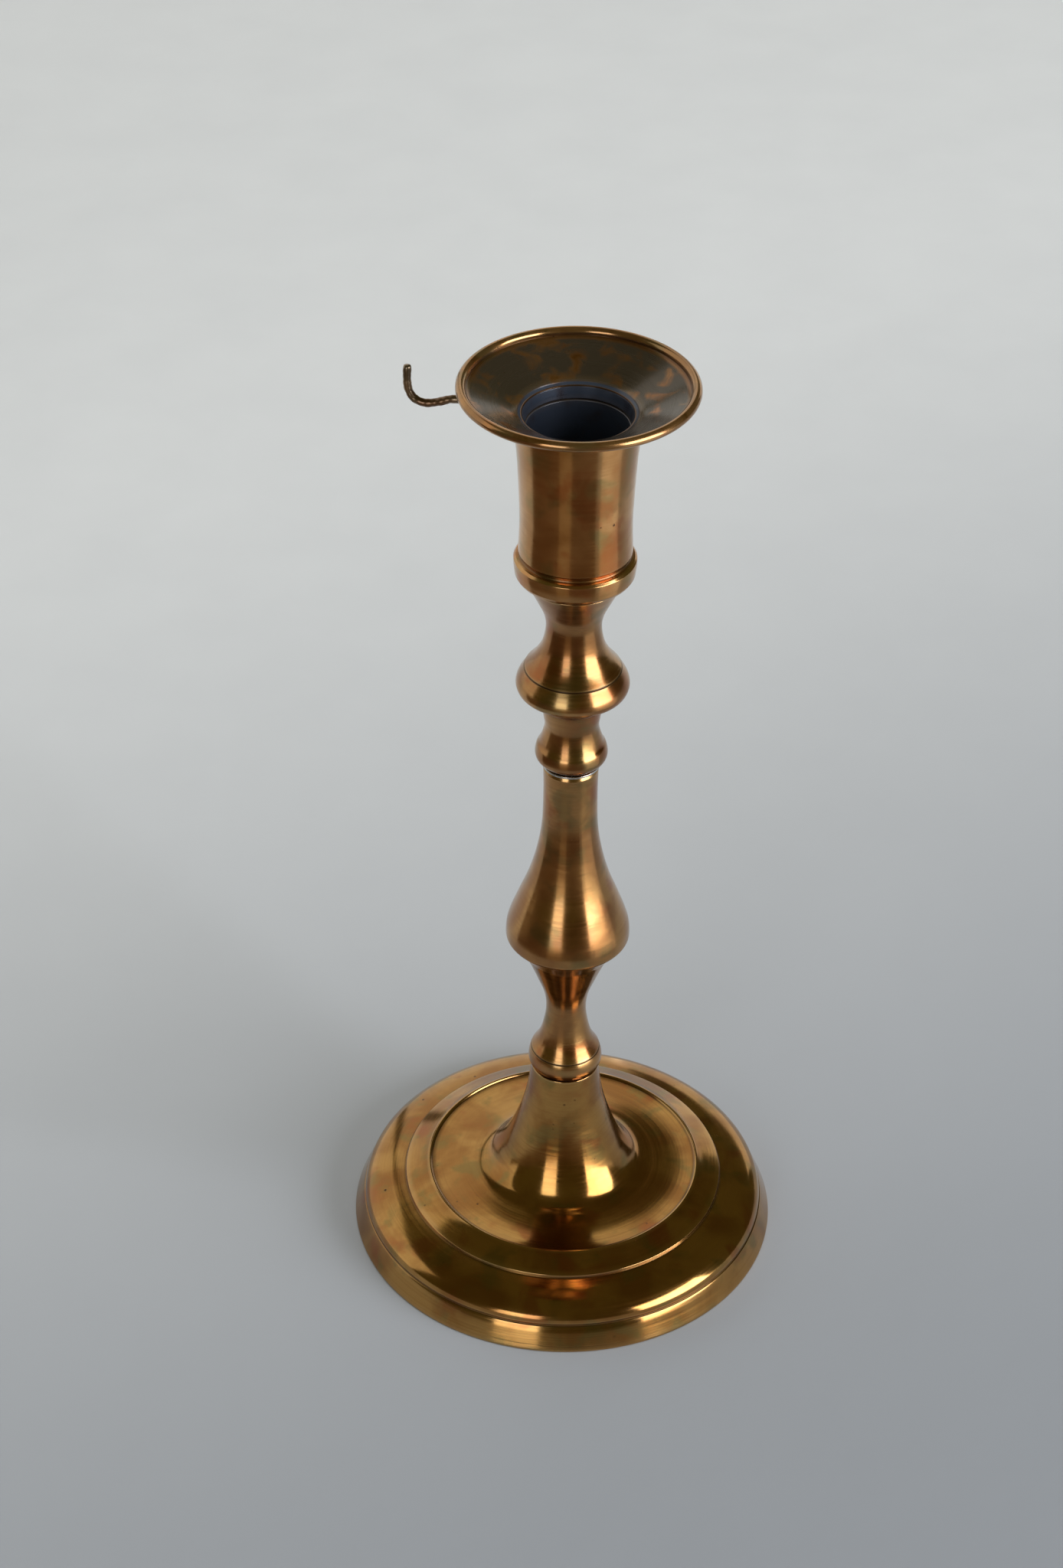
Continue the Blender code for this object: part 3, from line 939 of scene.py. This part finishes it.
@dataclass
class SnufferHook:
    """The hook of bent wire, brazed into the cup under the pan."""

    bender: WireBender
    azimuth: float = 168.0
    wire_radius: float = 0.9
    sides: int = 20
    steps: int = 12
    braze_swell: float = 0.75       # how much the blob of braze thickens the wire
    braze_middle: float = 1.2       # its middle's distance from the root
    braze_width: float = 1.1
    tip_length: float = 1.3         # length over which the tip's points close up, in steps of the curve
    line: tuple[Point, ...] = ((12.7, 226.5), (18.0, 227.0), (24.0, 227.8), (27.6, 227.7), (30.4, 226.7),
                               (33.4, 226.0), (35.8, 226.7), (37.1, 228.5), (37.5, 231.0), (37.4, 234.7))

    def swell(self, along: np.ndarray) -> np.ndarray:
        """Say how thick the wire is: a blob of braze at its root, hammer marks, and a rounded tip.

        Args:
            along: distance from the root in millimetres.

        Returns:
            The share of the wire's own radius at each distance.
        """
        braze = self.braze_swell * np.exp(-((along - self.braze_middle) / self.braze_width) ** 2)
        hammered = 0.035 * np.sin(1.9 * along) + 0.025 * np.sin(4.3 * along + 1.0)
        to_tip = (along[-1] - along) / (0.45 * self.wire_radius)
        rounded = np.sqrt(np.clip(to_tip * (2 - np.minimum(to_tip, 1.0)), 0.05, None))
        return np.minimum(1.0 + braze + hammered, rounded)

    def build(self) -> Object:
        """Make the hook and put it in place."""
        flat = np.array(smooth(self.line, self.steps))
        tip = flat[-1] - (flat[-1] - flat[-2]) * np.linspace(0.9, 0.0, 7)[:, None] * self.tip_length
        flat = np.vstack([flat[:-1][np.linalg.norm(flat[:-1] - flat[-1], axis=1) > 0.5], tip])
        along = np.concatenate([[0.0], np.cumsum(np.linalg.norm(np.diff(flat, axis=0), axis=1))])
        turn = math.radians(self.azimuth)
        places = np.column_stack([flat[:, 0] * math.cos(turn), flat[:, 0] * math.sin(turn), flat[:, 1]]) * MM
        metal = AgedBrass("hook_wire_drawn_and_darkened", brass="#A08A6E", brown="#6E5A46", olive="#5F5645",
                          copper="#6E4628", roughness=0.34, anisotropic=0.0, shift=12.0,
                          ring_depth=0.006).material()
        piece = self.bender.run("wire_hook", chain("hook.line", places, {"swell": self.swell(along)}),
                                {"Wire Radius": self.wire_radius * MM, "Sides": self.sides, "Metal": metal})
        return place(piece, Body.TOP, Slot.WIRE, "snuffer_hook")


class Head(Enum):
    """Which end of a screw its head is on."""

    BELOW = -1
    ABOVE = 1


@dataclass
class Fixings:
    """What holds the candlestick together, hidden until it is taken apart: screws, washers and stud."""

    SHARP_FROM = math.radians(35.0)

    lathe: Lathe
    thread_radius: float = 3.0
    pitch: float = 1.0
    thread_depth: float = 0.61
    head_radius: float = 5.0
    head_height: float = 3.0
    slot_width: float = 1.2
    slot_depth: float = 1.4
    chamfer: float = 0.5
    facets: int = 48
    ring_facets: int = 96
    rows_per_turn: int = 10

    def thread(self, shape: Outline, bottom: float, top: float) -> None:
        """Draw a threaded length, bottom to top.

        Args:
            shape: the outline that goes on.
            bottom: lower end in millimetres.
            top: upper end in millimetres.
        """
        rows = round((top - bottom) * self.rows_per_turn / self.pitch)
        heights = [bottom + (top - bottom) * k / rows for k in range(rows + 1)]
        shape.line(*[(self.thread_radius, height) for height in heights], thread=1.0)

    def screw(self, name: str, seat: float, end: float, head: Head,
              metal: Material) -> Object:
        """Make a slotted cheese-head screw.

        Args:
            name: the piece's name.
            seat: height of the face that bears on the work.
            end: height of the shank's end.
            head: which side of the seat the head is on.
            metal: its material.

        Returns:
            The screw.
        """
        shape = Outline(ease=0.25)
        outer = seat + head.value * self.head_height
        core = self.thread_radius - self.thread_depth
        if head is Head.BELOW:
            shape.line((0.0, outer), (self.head_radius, outer), (self.head_radius, seat),
                       (self.thread_radius, seat))
            self.thread(shape, seat + self.chamfer, end - self.chamfer)
            shape.line((core, end), (0.0, end))
        else:
            shape.line((0.0, end), (core, end))
            self.thread(shape, end + self.chamfer, seat - self.chamfer)
            shape.line((self.thread_radius, seat), (self.head_radius, seat), (self.head_radius, outer),
                       (0.0, outer))
        piece = self.lathe.spin(name, shape, self.facets, metal, self.pitch, self.thread_depth)
        self.slot(piece, outer)
        return piece

    def slot(self, piece: Object, height: float) -> None:
        """Cut the screwdriver slot.

        Args:
            piece: the screw.
            height: height of the head's outer face.
        """
        bar = bpy.data.meshes.new("slot_bar")
        size = Vector((4 * self.head_radius, self.slot_width, 2 * self.slot_depth)) * MM / 2
        corners = [(x, y, z) for x in (-1, 1) for y in (-1, 1) for z in (-1, 1)]
        bar.from_pydata([(x * size.x, y * size.y, z * size.z + height * MM) for x, y, z in corners], [],
                        [(0, 1, 3, 2), (4, 6, 7, 5), (0, 4, 5, 1), (2, 3, 7, 6), (0, 2, 6, 4), (1, 5, 7, 3)])
        cutter = show("slot_bar", bar)
        modifier = piece.modifiers.new("Slot", "BOOLEAN")
        modifier.operation, modifier.solver, modifier.object = "DIFFERENCE", "EXACT", cutter
        cut = settled(piece)
        piece.modifiers.clear()
        piece.data = cut
        bpy.data.objects.remove(cutter, do_unlink=True)
        cut.set_sharp_from_angle(angle=self.SHARP_FROM)

    def ring(self, name: str, inner: float, outer: float, bottom: float, top: float,
             metal: Material) -> Object:
        """Make a washer.

        Args:
            name: the piece's name.
            inner: its hole's radius in millimetres.
            outer: its outer radius.
            bottom: height of its lower face.
            top: height of its upper face.
            metal: its material.

        Returns:
            The washer.
        """
        shape = Outline(ease=0.12).line((outer, bottom), (outer, top), (inner, top), (inner, bottom))
        return self.lathe.spin(name, shape, self.ring_facets, metal)

    def stud(self, name: str, bottom: float, top: float, metal: Material) -> Object:
        """Make a headless threaded stud.

        Args:
            name: the piece's name.
            bottom: height of its lower end.
            top: height of its upper end.
            metal: its material.

        Returns:
            The stud.
        """
        shape = Outline(ease=0.15)
        core = self.thread_radius - self.thread_depth
        shape.line((0.0, bottom), (core, bottom))
        self.thread(shape, bottom + self.chamfer, top - self.chamfer)
        shape.line((core, top), (0.0, top))
        return self.lathe.spin(name, shape, self.facets, metal, self.pitch, self.thread_depth)

    def build(self) -> None:
        """Make every fixing and put it in place."""
        steel = FixingMetal("screw_steel_turned_and_oiled").material()
        tinned = FixingMetal("seam_washer_tinned", metal="#D9DAD8", dull="#A9AAA6", roughness=0.22,
                             stain_from=0.66).material()
        foot_screw = self.screw("underside_screw", seat=42.6, end=58.9, head=Head.BELOW, metal=steel)
        place(foot_screw, Body.BASE, Slot.SCREW, "foot_screw")
        washer = self.ring("underside_washer", inner=3.4, outer=5.8, bottom=42.9, top=43.7, metal=steel)
        place(washer, Body.BASE, Slot.SCREW, "foot_washer")
        seam = self.ring("seam_ring", inner=3.4, outer=6.7, bottom=137.0, top=137.5, metal=tinned)
        place(seam, Body.SEAM, Slot.SEAM, "seam_washer")
        cup_screw = self.screw("socket_screw", seat=193.9, end=175.2, head=Head.ABOVE, metal=steel)
        place(cup_screw, Body.TOP, Slot.SCREW, "cup_screw")
        stud = self.stud("seam_stud", bottom=125.0, top=149.2, metal=steel)
        place(stud, Body.BASE, Slot.SCREW, "stem_stud")


# ---------------------------------------------------------------------------------------------- studio


def sheet(name: str, rows: list[Point], start: float, end: float, count: int, material: Material,
          capped: bool = False) -> Mesh:
    """Make a sheet that goes round the Z axis, or part of the way.

    Args:
        name: the mesh's name.
        rows: (radius, height) of each row of points, in metres.
        start: azimuth where it starts, in degrees from the +Y axis towards +X.
        end: azimuth where it ends.
        count: faces in each row.
        material: its material.
        capped: whether the first row is filled in.

    Returns:
        The mesh.
    """
    turns = [math.radians(start + (end - start) * k / count) for k in range(count + 1)]
    verts = [(math.sin(t) * reach, math.cos(t) * reach, height) for t in turns for reach, height in rows]
    deep = len(rows)
    faces = [(i, i + deep, i + deep + 1, i + 1) for k in range(count)
             for i in range(k * deep, (k + 1) * deep - 1)]
    if capped:
        faces.append(tuple(range((count - 1) * deep, -1, -deep)))
    mesh = bpy.data.meshes.new(name)
    mesh.from_pydata(verts, [], faces)
    mesh.materials.append(material)
    return mesh


@dataclass(frozen=True)
class Softbox:
    """An even rectangle of light that faces the candlestick."""

    name: str
    azimuth: float          # degrees from the +Y axis towards +X
    width: float            # metres
    bottom: float
    top: float
    radiance: float
    colour: str = "#FFFFFF"
    distance: float = 2.6

    def build(self) -> None:
        """Put the light in the scene."""
        light = bpy.data.lights.new(self.name, "AREA")
        light.shape = "RECTANGLE"
        light.size, light.size_y = self.width, self.top - self.bottom
        light.energy = self.radiance * math.pi * light.size * light.size_y
        light.color = linear(self.colour)[:3]
        turn = math.radians(self.azimuth)
        middle = Vector((math.sin(turn) * self.distance, math.cos(turn) * self.distance,
                         (self.bottom + self.top) / 2))
        facing = Matrix.Rotation(math.pi - turn, 4, "Z") @ Matrix.Rotation(math.pi / 2, 4, "X")
        lamp = show(self.name, light)
        lamp.matrix_world = Matrix.Translation(middle) @ facing
        lamp.visible_camera = False


@dataclass
class Studio:
    """Pale floor, soft light and the camera."""

    floor_radius: float = 9.0
    floor_height: float = -0.0001
    flag_height: float = 0.003
    flag_reach: tuple[float, float] = (0.2, 5.0)
    dome_rows: int = 24
    lens: float = 75.06
    camera_back: float = 0.606606
    camera_height: float = 0.572173
    pitch: float = 0.629085
    yaw: float = -0.014786
    roll: float = 0.012066

    def build(self) -> None:
        """Make the floor, the backdrop, the lights and the camera."""
        scene = bpy.context.scene
        scene.view_settings.view_transform = "Standard"
        self._floor()
        self._backdrop()
        self._world()
        Softbox("soft_right_front", 119.0, 1.9, 0.0, 2.0, 7.5, "#F7F9FF").build()
        Softbox("soft_left_front", -159.0, 1.0, 0.0, 1.7, 2.8, "#F7F9FF").build()
        Softbox("card_left", -62.0, 3.9, 0.0, 3.1, 0.7).build()
        Softbox("card_back", -8.0, 1.3, 0.0, 3.1, 0.7).build()
        Softbox("card_low", 22.0, 1.6, 0.0, 0.95, 0.7).build()
        self._flag("dark_flag_front", 140.0, 190.0, "#665440")
        self._flag("dim_flag_front", 190.0, 214.0, "#98886F")
        self._flag("dark_flag_left", 214.0, 276.0, "#6E5840")
        self._flag("bright_flag_right", 88.0, 132.0, "#F2F4F6")
        self._overhead()
        self._camera()

    def _world(self) -> None:
        """Fill the rest of the room with a dim warm tone."""
        world = bpy.data.worlds.new("dim_room")
        world.use_nodes = True
        background = world.node_tree.nodes["Background"]
        background.inputs["Color"].default_value = linear("#544F2E")
        background.inputs["Strength"].default_value = 1.0
        bpy.context.scene.world = world

    def _flag(self, name: str, start: float, end: float, colour: str) -> None:
        """Lay a card round part of the paper, that only reflections show.

        Args:
            name: the card's name.
            start: azimuth where it starts, in degrees from the +Y axis towards +X.
            end: azimuth where it ends.
            colour: its hex colour.
        """
        felt = blank(f"{name}_felt")
        tree = felt.node_tree
        spot = add(tree, "ShaderNodeTexCoord", take="Object")
        fleck = add(tree, "ShaderNodeTexNoise", {"Vector": spot, "Scale": 9.0, "Detail": 4.0})
        shade = tint(tree, linear(colour), "#4A3A2A", fleck, strength=0.3)
        shader = add(tree, "ShaderNodeBsdfPrincipled", {"Base Color": shade, "Roughness": 0.9})
        add(tree, "ShaderNodeOutputMaterial", {"Surface": shader})
        rows = [(reach, self.flag_height) for reach in self.flag_reach]
        flag = show(name, sheet(name, rows, start, end, 24, felt))
        flag.visible_camera = flag.visible_diffuse = flag.visible_shadow = False

    def _overhead(self) -> None:
        """Light the floor evenly from above with a scrim that polished metal doesn't mirror."""
        light = bpy.data.lights.new("scrim_overhead", "AREA")
        light.shape = "DISK"
        light.size = 3.0
        light.energy = 27.0
        light.color = linear("#FAFBFF")[:3]
        lamp = show("scrim_overhead", light)
        lamp.location = (0.3, 0.4, 2.6)
        lamp.visible_camera = lamp.visible_glossy = False

    def _floor(self) -> None:
        """Lay a sheet of pale matt paper under the foot."""
        rows = [(reach, self.floor_height) for reach in (0.3, 0.8, 2.0, self.floor_radius)]
        floor = show("paper_floor", sheet("paper_floor", rows, 0.0, 360.0, 96, self._paper(), capped=True))

    def _paper(self) -> Material:
        """Build the floor's paper: matt, slightly mottled, and darker towards the front right as a painted
        fall-off of the light.

        Returns:
            The material.
        """
        material = blank("matt_backdrop_paper")
        tree = material.node_tree
        spot = add(tree, "ShaderNodeTexCoord", take="Object")
        axes = add(tree, "ShaderNodeSeparateXYZ", {"Vector": spot}).node.outputs
        # Painted light: the paper is darker towards the front right and lighter towards the back left, as the
        # light falls on it.
        lean = add(tree, "ShaderNodeMath", {0: axes["X"], 1: -0.6, 2: axes["Y"]}, operation="MULTIPLY_ADD")
        painted_light_falloff = add(tree, "ShaderNodeMapRange", {"Value": lean, "From Min": -0.22, "From Max": 0.5},
                   interpolation_type="SMOOTHSTEP")
        colour = tint(tree, linear("#9CA1A8"), "#E9ECEE", painted_light_falloff)
        mottle = add(tree, "ShaderNodeTexNoise", {"Vector": spot, "Scale": 28.0, "Detail": 6.0})
        faint = add(tree, "ShaderNodeMapRange", {"Value": mottle, "From Min": 0.3, "From Max": 0.7,
                                                 "To Max": 0.06})
        colour = tint(tree, colour, "#A8ABB2", faint)
        normal = add(tree, "ShaderNodeBump", {"Height": mottle, "Distance": 0.0004, "Strength": 0.6})
        shader = add(tree, "ShaderNodeBsdfPrincipled", {"Base Color": colour, "Roughness": 0.85,
                                                        "Normal": normal, "Specular IOR Level": 0.2})
        add(tree, "ShaderNodeOutputMaterial", {"Surface": shader})
        return material

    def _backdrop(self) -> None:
        """Close the view beyond the floor with a pale dome that only the camera sees."""
        cloth = blank("pale_dome_cloth")
        glow = add(cloth.node_tree, "ShaderNodeEmission", {"Color": linear("#DEDFE2"), "Strength": 1.0})
        add(cloth.node_tree, "ShaderNodeOutputMaterial", {"Surface": glow})
        rises = [math.pi / 2 * j / self.dome_rows for j in range(self.dome_rows)]
        rows = [(self.floor_radius * math.cos(a), self.floor_radius * math.sin(a) - MM) for a in rises]
        dome = show("pale_dome", sheet("pale_dome", rows, 0.0, 360.0, 64, cloth))
        dome.visible_glossy = dome.visible_diffuse = dome.visible_shadow = dome.visible_transmission = False

    def _camera(self) -> None:
        """Set the camera up."""
        data = bpy.data.cameras.new("camera")
        data.lens = self.lens
        camera = show("camera", data)
        level = math.cos(self.pitch)
        ahead = Vector((math.sin(self.yaw) * level, math.cos(self.yaw) * level, -math.sin(self.pitch)))
        right = Vector((math.cos(self.yaw), -math.sin(self.yaw), 0.0))
        turn = Matrix((right, right.cross(ahead), -ahead)).transposed() @ Matrix.Rotation(self.roll, 3, "Z")
        camera.matrix_world = Matrix.Translation((0.0, -self.camera_back, self.camera_height)) @ turn.to_4x4()
        bpy.context.scene.camera = camera


def main() -> None:
    """Build the candlestick from the foot up, then the studio round it."""
    logging.basicConfig(level=logging.INFO, format="%(name)s: %(message)s")
    lathe = Lathe()
    Foot(lathe).build()
    LowerStem(lathe).build()
    UpperStem(lathe).build()
    CandleCup(lathe).build()
    DripPan(lathe).build()
    SnufferHook(WireBender()).build()
    Fixings(lathe).build()
    Studio().build()


if __name__ == "__main__":
    main()
